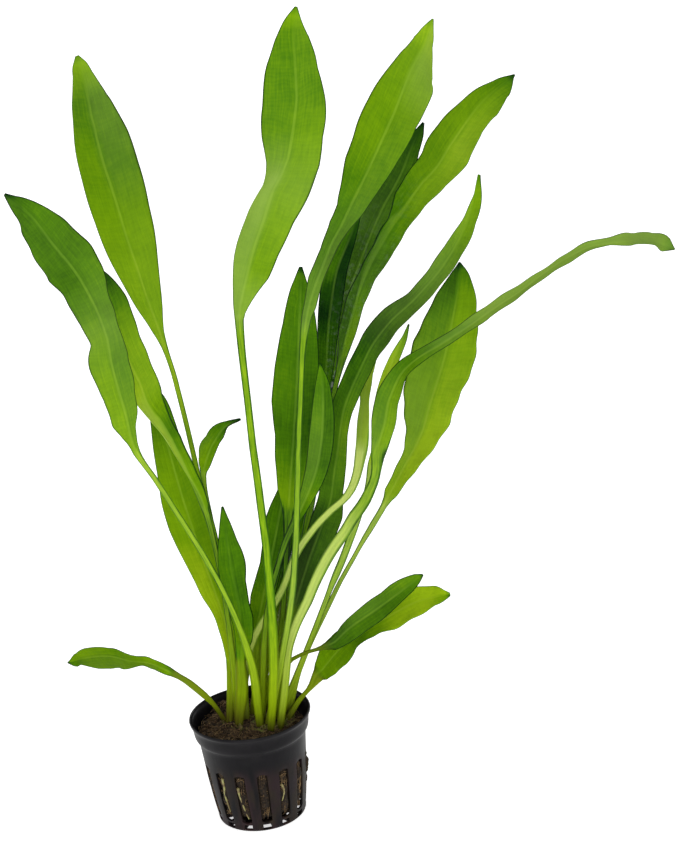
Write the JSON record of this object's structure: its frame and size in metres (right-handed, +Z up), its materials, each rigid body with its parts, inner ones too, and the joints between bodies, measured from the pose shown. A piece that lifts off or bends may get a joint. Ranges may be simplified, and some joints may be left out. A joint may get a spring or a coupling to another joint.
{
  "type": "potted echinodorus",
  "caption": "Potted echinodorus: an aquarium sword plant with narrow pointed leaves on long thin stalks, rising from soil in a small black slotted plastic pot",
  "frame": {"origin": "middle of the pot's foot, on the surface that the pot stands on", "axes": "+Z up along the pot's axis; +X to the right and +Y to the back, as one looks at the plant's front"},
  "size_m": [0.2623, 0.1576, 0.3611],
  "materials": {
    "pot_plastic": "satin",
    "soil": "matte",
    "crown": "matte",
    "root": "satin",
    "bright_leaf": "satin",
    "green_leaf": "satin",
    "dark_leaf": "satin"
  },
  "bodies": {
    "root": {"pot": "pot_plastic", "soil_plug": "soil", "crown": "crown", "root_left": "root", "root_middle": "root", "root_right": "root", "tall_centre_leaf": "bright_leaf", "upper_left_leaf": "bright_leaf", "upper_right_leaf": "bright_leaf", "upper_far_right_leaf": "bright_leaf", "broad_right_leaf": "bright_leaf", "low_right_back_leaf": "bright_leaf", "wavy_left_leaf": "green_leaf", "left_behind_leaf": "green_leaf", "broad_left_leaf": "green_leaf", "curled_leaf": "green_leaf", "inner_leaf": "green_leaf", "long_diagonal_leaf": "green_leaf", "arching_right_leaf": "green_leaf", "narrow_right_leaf": "green_leaf", "thin_right_leaf": "green_leaf", "low_left_leaf": "green_leaf", "low_right_front_leaf": "green_leaf", "deep_shade_leaf": "dark_leaf", "dark_back_leaf": "dark_leaf", "dark_centre_leaf": "dark_leaf", "lower_centre_leaf": "dark_leaf", "short_broad_leaf": "dark_leaf"}
  },
  "joints": []
}
